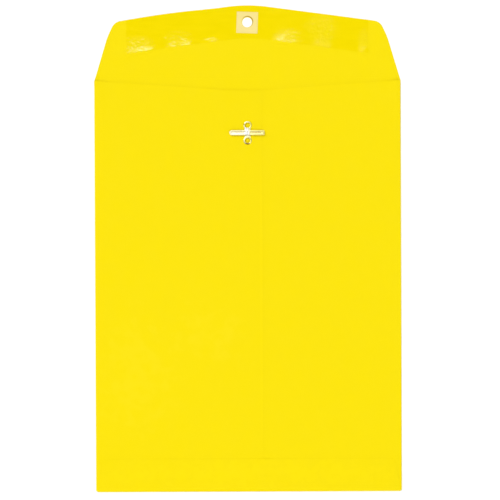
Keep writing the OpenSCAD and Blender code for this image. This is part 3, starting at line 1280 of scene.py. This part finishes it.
    def _lie_closed(self, point: Vector, side: Side) -> Vector:
        """Gives a point of a side panel its place: the dip of the mouth, the belly, the seam's lip.

        Args:
            point: Point of the flat panel.
            side: Which of the two panels.

        Returns:
            The point's new place.
        """
        place = self.layout
        near_mouth = max((point.y - place.mouth_y) / self.throat_reach + 1, 0.0)
        y = point.y - (place.mouth_y - self.relief.mouth(point.x)) * near_mouth
        lift = self.relief.pocket(point.x, y)
        if side is Side.LEFT:
            loose = ease((y - place.bottom_flap_top) / self.lip_foot_run)
            loose *= 1 - self.lip_low_share * ease((y - self.lip_low_from) / self.lip_low_run)
            edge = ease((point.x - place.seam_x + self.lip_width) / self.lip_width)
            lift += self.lip_lift * loose * edge
        return Vector((point.x, y, point.z + lift))

    def bottom_sheet(self) -> None:
        """Builds the bottom flap with the fold that joins it to the front."""
        place = self.layout
        z = place.bottom_flap_z
        low = Vector((-place.bottom_flap_half, place.foot_y, z))
        high = Vector((place.bottom_flap_half, place.bottom_flap_top, z))
        obj = Bench.grid("bottom_sheet", low, high, self.bottom_cell)
        Bench.trim(obj, tapered_cuts(low, high, self.bottom_taper, self.bottom_corner_r))
        mid_z = (z + place.paper_t / 2) / 2
        Bench.wrap(obj, at_y(place.foot_y), Vector((0, place.foot_y, mid_z)), Vector((-1, 0, 0)), math.pi)
        Bench.form(obj, place.paper_t, self._lie_glued)
        Bench.settle(obj, self.material)
        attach(obj, Body.POCKET.value)
        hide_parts("bottom_fold", "bottom_flap")

    def _lie_glued(self, point: Vector) -> Vector:
        """Gives a point of the bottom flap its place: the step beside the seam and the glue's ripple."""
        lift = self.relief.step(point.x, point.y) + self.relief.paste(point.x, point.y)
        return Vector((point.x, point.y, point.z + lift))

    def build(self) -> None:
        """Builds all four pieces of the sheet."""
        self.front_sheet()
        for side in Side:
            self.side_sheet(side)
        self.bottom_sheet()


@dataclass
class GlueFilms:
    """Glue between the side panels, and under the bottom flap."""

    blank: PaperBlank
    material: bpy.types.Material
    cell: float = 3.0
    corner_r: float = 2.5

    def seam_film(self) -> None:
        """Builds the film between the side panels, along the belly."""
        low, high = node_box("seam_glue")
        film_t = high.z - low.z
        low.z = (low.z + high.z) / 2
        obj = Bench.grid("seam_film", low, high, self.cell)
        self.blank.punch_barrels(obj, low.z)
        Bench.form(obj, film_t, lifted(self.blank.relief.pocket))
        self._dress(obj, "seam_glue")

    def bottom_film(self) -> None:
        """Builds the film under the bottom flap, with the flap's step."""
        low, high = node_box("bottom_glue")
        layout = self.blank.layout
        film_t = layout.bottom_flap_z - layout.paper_t / 2 - layout.back_z
        low.z = layout.back_z + film_t / 2
        obj = Bench.grid("bottom_film", low, high, self.cell)
        Bench.trim(obj, tapered_cuts(low, high, self.blank.bottom_taper, self.corner_r))
        Bench.form(obj, film_t, lifted(self.blank.relief.step))
        self._dress(obj, "bottom_glue")

    def _dress(self, obj: bpy.types.Object, node: str) -> None:
        """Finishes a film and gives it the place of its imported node.

        Args:
            obj: Film in its final form.
            node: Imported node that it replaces.
        """
        Bench.settle(obj, self.material)
        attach(obj, Body.POCKET.value)
        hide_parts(node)

    def build(self) -> None:
        """Builds both films."""
        self.seam_film()
        self.bottom_film()


@dataclass
class GumBand:
    """Dried gum along the flap's top edge, parted round the patch."""

    blank: PaperBlank
    material: bpy.types.Material
    edge: float = 0.2
    patch_gap: float = 0.2
    cell: float = 1.2
    lift: float = 0.02

    def build(self, patch_cuts: list[Cut]) -> None:
        """Builds the band.

        Args:
            patch_cuts: Sides of the patch, with the waste outside.
        """
        low, high = node_box("gum_band")
        blank, relief = self.blank, self.blank.relief
        depth = blank.top_edge(high.x) - self.edge - low.y
        z = (low.z + high.z) / 2 + self.lift
        obj = Bench.grid("gum_coat", Vector((low.x, -depth, z)), Vector((high.x, 0, z)), self.cell)
        Bench.shape(obj, lambda point: point + Vector((0, blank.top_edge(point.x) - self.edge, 0)))
        gaps = [Cut(cut.point + self.patch_gap * cut.outward, cut.outward) for cut in patch_cuts]
        Bench.trim(obj, gaps, drop_waste=False)

        def on_patch(point: Vector) -> bool:
            """Says whether a point lies where the patch and the gap round it are."""
            return all((point - gap.point).dot(gap.outward) < 0 for gap in gaps)

        def swollen(point: Vector) -> Vector:
            """Gives a point of the flat band its place on the swollen flap."""
            return point + Vector((0, relief.slip(point.x, point.y), relief.flap(point.x, point.y)))

        with Bench.editing(obj):
            Bench.drop_faces(obj, on_patch)
        Bench.form(obj, high.z - low.z, swollen)
        Bench.settle(obj, self.material)
        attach(obj, Body.FLAP.value)
        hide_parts("gum_band")


@dataclass
class HolePatch:
    """Square of stiff paper round the hole, stuck on a little out of line with it."""

    blank: PaperBlank
    material: bpy.types.Material
    side: float = 15.8
    turn: float = 2.0
    drop: float = 0.2
    grid_share: float = 1.08
    hole_step: float = 0.5
    hole_margin: float = 0.9
    cell: float = 0.8
    merge: float = 0.06
    edge_round: float = 0.05

    @property
    def middle(self) -> Vector:
        """Middle of the square, in the middle of its thickness."""
        low, high = node_box("hole_patch")
        return Vector((self.blank.hole.x, self.blank.hole.y - self.drop, (low.z + high.z) / 2))

    def cuts(self) -> list[Cut]:
        """Gives the four sides of the square.

        Returns:
            Cuts with the waste outside.
        """
        sides = []
        for quarter in range(4):
            angle = math.radians(90 * quarter - self.turn)
            outward = Vector((math.cos(angle), math.sin(angle), 0))
            sides.append(Cut(self.middle + outward * self.side / 2, outward))
        return sides

    def build(self) -> None:
        """Builds the patch with its hole."""
        low, high = node_box("hole_patch")
        half = Vector((self.side, self.side, 0)) * self.grid_share / 2
        obj = Bench.grid("patch_square", self.middle - half, self.middle + half, self.cell)
        hole = Vector((self.blank.hole.x, self.blank.hole.y + self.hole_step / 2, self.middle.z))
        Bench.punch(obj, hole, self.blank.hole_r + self.hole_step / 2, self.hole_margin)
        Bench.trim(obj, self.cuts())
        Bench.face_up(obj, self.merge)
        Bench.thicken(obj, high.z - low.z)
        Bench.soften(obj, self.edge_round, segments=2, corner=50.0)
        Bench.settle(obj, self.material)
        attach(obj, Body.FLAP.value)
        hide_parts("hole_patch")


@dataclass
class Clasp:
    """Tinned stamping: two drawn eyelets and the waist between them."""

    blank: PaperBlank
    material: bpy.types.Material
    metal_t: float = 0.2
    ring_r: float = 3.0
    bore_r: float = 1.9
    crown: float = 0.17
    waist_half: float = 1.8
    waist_camber: float = 0.05
    waist_spare: float = 0.3
    round_steps: int = 60
    waist_rows: int = 12
    edge_round: float = 0.05

    @property
    def plate_z(self) -> float:
        """Height of the rings' outer edges, in the middle of the metal."""
        return self.blank.layout.back_z + self.metal_t / 2

    @property
    def pitch_half(self) -> float:
        """Half of the distance between the eyelets."""
        return self.blank.eyelet_pitch / 2

    @property
    def waist_r(self) -> float:
        """Radius of the hollow that runs smoothly from ring to ring."""
        nip = self.ring_r - self.waist_half
        return (self.pitch_half**2 + self.waist_half**2 - self.ring_r**2) / (2 * nip)

    @property
    def meeting(self) -> Vector:
        """Point, from the clasp's middle, where the hollow meets a ring."""
        share = self.waist_r / (self.waist_r + self.ring_r)
        return Vector(((self.waist_half + self.waist_r) * (1 - share), self.pitch_half * share, 0))

    def profile(self) -> list[Range]:
        """Gives the section of an eyelet.

        Returns:
            Radius and height of each ring, from the clinched rim over the crown to the outer edge.
        """
        low, _ = node_box("clasp_plate")
        clinch_z = low.z + self.metal_t / 2
        crown_z = self.plate_z + self.crown
        barrel_r = self.bore_r + self.metal_t / 2
        return [
            (self.ring_r - 0.1, clinch_z),
            (barrel_r + 0.3, clinch_z),
            (barrel_r + 0.08, clinch_z + 0.06),
            (barrel_r, clinch_z + 0.2),
            (barrel_r, crown_z - 0.22),
            (barrel_r + 0.05, crown_z - 0.1),
            (barrel_r + 0.16, crown_z - 0.02),
            (barrel_r + 0.38, crown_z),
            (barrel_r + 0.62, crown_z - 0.03),
            (barrel_r + 0.82, self.plate_z + 0.05),
            (self.ring_r, self.plate_z),
        ]

    def build(self) -> None:
        """Builds the plate with its eyelets."""
        profile = self.profile()
        start_r, start_z = profile[0]
        lower, upper = self.blank.barrel_holes(start_z)
        bpy.ops.object.select_all(action="DESELECT")
        bpy.ops.mesh.primitive_circle_add(vertices=self.round_steps, radius=start_r, location=lower)
        obj = Bench.named("clasp_stamping")
        Bench.freeze()
        with Bench.editing(obj):
            Bench.draw_rings(lower, profile)
            bpy.ops.mesh.select_all(action="DESELECT")
            bpy.ops.mesh.primitive_circle_add(vertices=self.round_steps, radius=start_r, location=upper)
            Bench.draw_rings(upper, profile)
            self._join_waist(obj)
        Bench.form(obj, self.metal_t, self._nip)
        Bench.soften(obj, self.edge_round, segments=3, corner=60.0)
        Bench.settle(obj, self.material)
        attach(obj, Body.POCKET.value)
        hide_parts("clasp_plate")

    def _join_waist(self, obj: bpy.types.Object) -> None:
        """Bridges the facing arcs of the two rings.

        Args:
            obj: Plate that is open in edit mode.
        """
        clasp_y, reach = self.blank.layout.clasp_y, self.meeting.y + ON_EDGE

        def facing(point: Vector) -> bool:
            """Says whether a point lies on the part of a ring that faces the other ring."""
            return abs(point.z - self.plate_z) < ON_EDGE and abs(point.y - clasp_y) < reach

        Bench.select_rim(obj, facing)
        bpy.ops.mesh.bridge_edge_loops(number_cuts=self.waist_rows, interpolation="LINEAR")

    def _nip(self, point: Vector) -> Vector:
        """Draws the waist in and gives it a low camber.

        Args:
            point: Point of the plate.

        Returns:
            The point's new place.
        """
        meeting = self.meeting
        up = abs(point.y - self.blank.layout.clasp_y)
        if abs(point.x) > self.ring_r or abs(point.z - self.plate_z) > ON_EDGE:
            return point
        ring_y = self.pitch_half - math.sqrt(self.ring_r**2 - point.x**2)
        if up > ring_y - ON_EDGE or abs(point.x) > meeting.x + self.waist_spare:
            return point
        share = up / ring_y
        half = self.waist_half + self.waist_r - math.sqrt(self.waist_r**2 - (share * meeting.y) ** 2)
        camber = self.waist_camber * (1 - (point.x / meeting.x) ** 2) * (1 - share**2)
        return Vector((point.x * half / meeting.x, point.y, point.z + camber))


@dataclass
class Prong:
    """Grooved strip that stands on the plate and bends over to one side."""

    blank: PaperBlank
    material: bpy.types.Material
    side: Side
    tip_r: float
    metal_t: float = 0.25
    plate_t: float = 0.2
    root_w: float = 3.0
    root_l: float = 0.9
    root_share: float = 0.4
    bend_r: float = 0.16
    groove_half: float = 1.05
    groove_depth: float = 0.2
    groove_end: float = 1.2
    arch: float = 0.1
    cell: float = 0.2
    tip_step: float = 8.0
    tab_rows: int = 4
    edge_round: float = 0.06
    blend_spare: float = 0.05
    blend_past: float = 0.15
    reach: float = field(init=False)
    half_w: float = field(init=False)
    blade_x: float = field(init=False)
    mid_y: float = field(init=False)
    mid_z: float = field(init=False)

    def __post_init__(self) -> None:
        """Reads the blade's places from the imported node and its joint."""
        low, high = node_box(self.name)
        joint = next(joint for joint in frame["joints"] if joint["child"] == self.name)
        axis = Vector(joint["pos_m"]) / MM
        self.reach = max(abs(low.x), abs(high.x))
        self.half_w = (high.y - low.y) / 2
        self.blade_x = abs(axis.x) + self.bend_r
        self.mid_y = (high.y + low.y) / 2
        self.mid_z = axis.z

    @property
    def name(self) -> str:
        """Name of the prong's node and body."""
        return Body[f"{self.side.name}_PRONG"].value

    def build(self) -> None:
        """Builds the prong on the right-hand side and mirrors it where it belongs on the left."""
        low_y, high_y = self.mid_y - self.half_w, self.mid_y + self.half_w
        obj = Bench.grid(
            self.name + "_strip",
            Vector((self.blade_x, low_y, self.mid_z)),
            Vector((self.reach, high_y, self.mid_z)),
            self.cell,
        )
        outline = [
            Corner(self.blade_x, low_y),
            Corner(self.reach, low_y, self.tip_r),
            Corner(self.reach, high_y, self.tip_r),
            Corner(self.blade_x, high_y),
        ]
        Bench.trim(obj, rounded_cuts(outline, self.tip_step))
        Bench.shape(obj, self._press)
        bend_z = self.mid_z - self.bend_r
        bend = Vector((self.blade_x, 0, bend_z))
        Bench.wrap(obj, at_x(self.blade_x), bend, Vector((0, 1, 0)), math.pi / 2)
        tab_x = self.blade_x - self.bend_r
        tab_l = bend_z - (self.blank.layout.back_z + self.plate_t)
        Bench.extend(obj, at_x(tab_x), Vector((0, 0, -tab_l / self.tab_rows)), self.tab_rows)
        Bench.face_up(obj)
        Bench.thicken(obj, self.metal_t)
        Bench.soften(obj, self.edge_round, segments=3, corner=60.0)
        if self.side is Side.LEFT:
            Bench.pick(obj)
            obj.scale.x = -1
            Bench.freeze()
            with Bench.editing(obj):
                bpy.ops.mesh.normals_make_consistent(inside=False)
        Bench.settle(obj, self.material)
        self.name
        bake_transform(obj)
        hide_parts(self.name)

    def _press(self, point: Vector) -> Vector:
        """Presses the groove, narrows the root and arches the blade.

        Args:
            point: Point of the flat blade.

        Returns:
            The point's new place.
        """
        past_root = point.x - self.blade_x
        aside = point.y - self.mid_y
        wide = ease((past_root - self.root_l * self.root_share) / self.root_l)
        share = self.root_w / 2 / self.half_w
        aside *= share + (1 - share) * wide
        groove_from = self.blade_x + self.root_l + self.groove_end
        groove_to = self.reach - self.groove_end - self.groove_half
        past_end = max(groove_from - point.x, point.x - groove_to, 0.0)
        groove = self.groove_depth * (1 - ease(math.hypot(past_end, aside) / self.groove_half))
        arch = self.arch * math.sin(math.pi * past_root / (self.reach - self.blade_x))
        return Vector((point.x, self.mid_y + aside, point.z + arch - groove))


@dataclass(frozen=True)
class Sun:
    """Broad far light: strength, and tilt from above, bearing from +X and spread in degrees."""

    name: str
    strength: float
    tilt: float
    bearing: float
    spread: float


@dataclass(frozen=True)
class Softbox:
    """Rectangular light: power in watts, size and place in metres, and whether only gloss shows it."""

    name: str
    power: float
    size: Range
    place: Lengths
    mirrored_only: bool = False


@dataclass
class Studio:
    """Pale coved floor, soft lights and the camera straight above."""

    floor_r: float = 2.6
    floor_steps: int = 96
    cove_r: float = 1.0
    cove_steps: int = 8
    floor_z: float = -0.00005
    floor_colour: Colour = (0.93, 0.93, 0.93)
    frame_width: float = 0.3712
    lens: float = 85.0
    sensor: float = 36.0
    clip: Range = (0.01, 20.0)
    aim: Range = (0.001455, -0.00094)
    roll: float = -0.23
    tilt: float = 0.42
    world: float = 0.42
    light_aim: Lengths = (0.0, 0.1, 0.0)
    suns: tuple[Sun, ...] = (
        Sun("key", 1.968, 40.0, 140.0, 42.0),
        Sun("fill", 1.279, 46.0, -55.0, 70.0),
    )
    softboxes: tuple[Softbox, ...] = (
        Softbox("strip", 5.5, (1.3, 0.16), (0.0, 0.72, 1.6), mirrored_only=True),
        Softbox("halo", 1.5, (1.6, 0.4), (0.0, 0.74, 1.62), mirrored_only=True),
        Softbox("corner", 1.0, (0.6, 0.6), (-0.55, -0.75, 0.9)),
    )

    def floor(self) -> None:
        """Builds a round floor that curves up into a wall."""
        middle = Vector((0, 0, self.floor_z))
        bpy.ops.object.select_all(action="DESELECT")
        bpy.ops.mesh.primitive_circle_add(
            vertices=self.floor_steps, radius=self.floor_r, fill_type="NGON", location=middle
        )
        obj = Bench.named("floor")
        Bench.freeze()
        profile = []
        for step in range(self.cove_steps + 1):
            angle = math.pi / 2 * step / self.cove_steps
            out, up = self.cove_r * math.sin(angle), self.cove_r * (1 - math.cos(angle))
            profile.append((self.floor_r + out, self.floor_z + up))
        with Bench.editing(obj):
            Bench.select_rim(obj, lambda point: True)
            Bench.draw_rings(middle, profile)
        bpy.ops.object.shade_smooth()
        board = ShaderBoard("pale_floor")
        board.set(Base_Color=(*self.floor_colour, 1), Roughness=0.9, Specular_IOR_Level=0.1)
        obj.data.materials.append(board.material)
        obj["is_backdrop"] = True

    @staticmethod
    def _hang(name: str, data: bpy.types.ID) -> bpy.types.Object:
        """Adds an object for a light or a camera to the scene.

        Args:
            name: Name of the object.
            data: The light or camera.

        Returns:
            The object.
        """
        obj = bpy.data.objects.new(name, data)
        bpy.context.scene.collection.objects.link(obj)
        return obj

    def sun(self, light: Sun) -> None:
        """Adds a broad far light.

        Args:
            light: Its values.
        """
        data = bpy.data.lights.new(light.name, "SUN")
        data.energy = light.strength
        data.angle = math.radians(light.spread)
        obj = self._hang(light.name, data)
        obj.rotation_euler = (0, math.radians(light.tilt), math.radians(light.bearing))

    def softbox(self, box: Softbox) -> None:
        """Adds a softbox that faces the envelope.

        Args:
            box: Its values.
        """
        data = bpy.data.lights.new(box.name, "AREA")
        data.shape = "RECTANGLE"
        data.size, data.size_y = box.size
        data.energy = box.power
        obj = self._hang(box.name, data)
        obj.location = box.place
        obj.visible_diffuse = not box.mirrored_only
        obj.rotation_euler = (Vector(self.light_aim) - obj.location).to_track_quat("-Z", "Y").to_euler()

    def backdrop(self) -> None:
        """Sets an even surround that gloss doesn't mirror, and plain colour handling."""
        scene = bpy.context.scene
        world = bpy.data.worlds.new("surround")
        scene.world = world
        world.use_nodes = True
        background = world.node_tree.nodes["Background"]
        background.inputs["Color"].default_value = (1, 1, 1, 1)
        background.inputs["Strength"].default_value = self.world
        world.cycles_visibility.glossy = False
        scene.view_settings.view_transform = "Standard"

    def camera(self) -> None:
        """Places the camera nearly straight above, turned and tilted as in the photograph."""
        data = bpy.data.cameras.new("camera")
        data.lens = self.lens
        data.sensor_width = self.sensor
        data.clip_start, data.clip_end = self.clip
        obj = self._hang("camera", data)
        height = self.frame_width * self.lens / self.sensor
        tilt = math.radians(self.tilt)
        aim_x, aim_y = self.aim
        obj.location = (aim_x, aim_y + height * math.tan(tilt), height)
        obj.rotation_euler = (-tilt, 0, math.radians(self.roll))
        bpy.context.scene.camera = obj

    def build(self) -> None:
        """Builds the stage, the lights and the camera."""
        self.floor()
        self.backdrop()
        for light in self.suns:
            self.sun(light)
        for box in self.softboxes:
            self.softbox(box)
        self.camera()


YELLOW: Colour = (0.7885, 0.626, 0.0014)
MOTTLED: Colour = (0.798, 0.635, 0.0042)
CREAM: Colour = (0.782, 0.642, 0.234)
# Painted shade: the dark crescent round the upper right of the hole's rim.
HOLE_SHADE: Colour = (0.30, 0.15, 0.01)

COCKLES = (
    Cockle(-80.5, 146.4, 12.0, 9.0, 0.5, 6.0),
    Cockle(-80.0, 146.4, 10.0, 1.8, 0.09, 6.0),
    Cockle(-51.0, 150.4, 10.0, 6.0, 0.28, 6.5),
    Cockle(-56.5, 149.7, 4.0, 1.8, 0.1, 6.5),
    Cockle(-45.0, 151.2, 3.5, 1.8, 0.1, 6.5),
    Cockle(-27.0, 153.4, 5.0, 2.0, 0.12, 7.0),
    Cockle(29.5, 153.1, 11.0, 7.0, 0.36, -7.0),
    Cockle(24.5, 153.7, 5.0, 2.5, 0.07, -7.0),
    Cockle(56.0, 149.5, 8.0, 10.0, 0.45, -9.0),
    Cockle(86.0, 145.5, 3.5, 10.0, 0.5, -8.0),
)

HAZES = (
    Spot((-81.0, 150.5, 0.2), (14.0, 8.0, 9.0), 0.3),
    Spot((-51.5, 154.5, 0.2), (14.0, 8.0, 9.0), 0.3),
    Spot((-27.5, 154.2, 0.2), (7.0, 2.5, 9.0), 0.4),
    Spot((31.0, 155.6, 0.2), (13.0, 8.0, 9.0), 0.3),
    Spot((55.0, 159.5, 0.2), (15.0, 14.0, 9.0), 0.4),
    Spot((86.0, 153.0, 0.2), (6.0, 10.0, 9.0), 0.4),
)


def paper_tints_and_highlights(relief: Relief) -> tuple[PaintedSpot, ...]:
    """Gives the paper's lighter parts: painted highlights along the seam's edge and the mouth's lip, a
    lighter blotchy band over the pasted strip and two paler mottled patches.

    Args:
        relief: The paper's relief, which knows the mouth.

    Returns:
        Painted spots in the order that they are laid.
    """
    layout, slope = relief.layout, relief.throat_slope
    # Painted highlight on the left panel just short of its edge at the seam, where the raised edge catches
    # the light.
    seam = Spot((layout.seam_x - 0.9, -38.0, layout.left_z + 0.3), (1.5, 118.0, 1.1), 0.7)
    paste_place = (0.0, layout.bottom_flap_top - 10.0, layout.bottom_flap_z)
    paste = Spot(paste_place, (150.0, 8.0, 0.4), core=0.2, ragged=0.9, grain=5.0)
    # Painted highlights along the mouth's lip, just below its edge, where the cut edge catches the light.
    lip_highlights = [
        Spot((x, relief.mouth(x) - 1.0, 0.55), (55.0, 1.6, 0.3), turn=turn)
        for x, turn in ((-52.0, -slope), (52.0, slope))
    ]
    mottles = [
        Spot((x, y, layout.left_z + 0.35), (*reach, 0.7), core=0.3, ragged=0.8, grain=7.0)
        for x, y, reach in ((-83.0, -96.0, (27.0, 40.0)), (-25.0, -64.0, (24.0, 22.0)))
    ]
    return (
        PaintedSpot(seam, shaded(YELLOW, 1.025)),
        PaintedSpot(paste, shaded(YELLOW, 1.018)),
        *(PaintedSpot(lip, shaded(YELLOW, 1.016)) for lip in lip_highlights),
        *(PaintedSpot(mottle, MOTTLED) for mottle in mottles),
    )


def metal_painted_reflections(blank: PaperBlank) -> tuple[PaintedSpot, ...]:
    """Gives the clasp's painted light: yellow and dark painted reflections on the rings and prongs,
    painted reflection in the grooves, and painted highlights on the neck and middle.

    Args:
        blank: The sheet, which knows the places of the eyelets.

    Returns:
        Painted spots in the order that they are laid.
    """
    middle, ring_z, prong_z = blank.layout.clasp_y, blank.layout.back_z, 2.6
    lower, upper = (hole.y for hole in blank.barrel_holes(ring_z))
    rings = (upper, lower)
    return (
        # Painted reflection: the yellow paper mirrored in the right prong.
        PaintedSpot(Spot((8.0, middle, prong_z), (7.5, 3.0, 2.0), 0.8), (0.84, 0.75, 0.28)),
        # Painted reflection: the yellow paper mirrored in both rings, stronger on their right sides.
        *(PaintedSpot(Spot((0.0, y, ring_z), (3.6, 3.6, 2.0), 0.85), (0.86, 0.78, 0.36)) for y in rings),
        *(PaintedSpot(Spot((2.7, y, ring_z), (1.7, 3.6, 2.0)), (0.78, 0.70, 0.18)) for y in rings),
        # Painted reflection: dark surroundings mirrored in the lower ring's bottom slope and the upper
        # ring's left side.
        PaintedSpot(Spot((0.1, lower - 3.2, ring_z), (3.4, 1.7, 2.0)), (0.22, 0.08, 0.003)),
        PaintedSpot(Spot((-2.9, upper + 0.9, ring_z), (0.9, 1.2, 2.0)), (0.12, 0.07, 0.01)),
        # Painted reflection in the grooves: tan where they mirror the paper and darker surroundings.
        PaintedSpot(Spot((7.2, middle + 0.1, prong_z), (6.0, 0.8, 2.0)), (0.74, 0.58, 0.22)),
        PaintedSpot(Spot((-7.4, middle + 0.9, prong_z), (6.4, 0.9, 2.0)), (0.88, 0.78, 0.42)),
        # Painted highlights on the neck and the middle, laid over the shade between the prong roots.
        PaintedSpot(Spot((-0.9, middle + 2.6, 1.8), (1.9, 2.3, 2.0)), (0.99, 0.98, 0.94)),
        PaintedSpot(Spot((-0.4, middle, 2.0), (2.2, 2.2, 2.0), 0.7), (0.99, 0.98, 0.92)),
    )


def main() -> None:
    """Builds the envelope piece by piece, then the stage, and notes both boxes."""
    logging.basicConfig(level=logging.INFO, format="%(message)s")
    layout = Layout.from_frame()
    relief = Relief(layout, cockles=COCKLES)
    # The paper's finish carries painted highlights at the seam and the mouth's lip.
    paper = PaperFinish("yellow_paper", YELLOW, marks_and_painted_light=paper_tints_and_highlights(relief)).material()
    glue = GlueFinish().material()
    blank = PaperBlank(layout, relief, paper)
    # Painted shade on the patch board round the upper right of the hole, where the rim shades it.
    hole_shade_spot = PaintedSpot(Spot((0.3, blank.hole.y + 0.55, 0.35), (4.4, 4.4, 4.4), 0.87, 0.02), HOLE_SHADE)
    stiff = PaperFinish("patch_board", CREAM, fibre_share=0.08, cloud_share=0.02, marks_and_painted_light=(hole_shade_spot,))
    board = stiff.material()
    # The clasp's finish carries painted reflections and painted highlights.
    metal = MetalFinish(marks_and_painted_light=metal_painted_reflections(blank)).material()
    blank.build()
    GlueFilms(blank, glue).build()
    patch = HolePatch(blank, board)
    GumBand(blank, GumFinish(hazes=HAZES).material()).build(patch.cuts())
    patch.build()
    Clasp(blank, metal).build()
    Prong(blank, metal, Side.LEFT, tip_r=1.6).build()
    Prong(blank, metal, Side.RIGHT, tip_r=0.5).build()
    Studio().build()
    boxes = {"cad": CAD_BOX, "visual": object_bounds()}
    for key, (low, high) in boxes.items():
        LOG.info("%s box: %s", key, [round(side / MM, 2) for side in high - low])


if __name__ == "__main__":
    main()
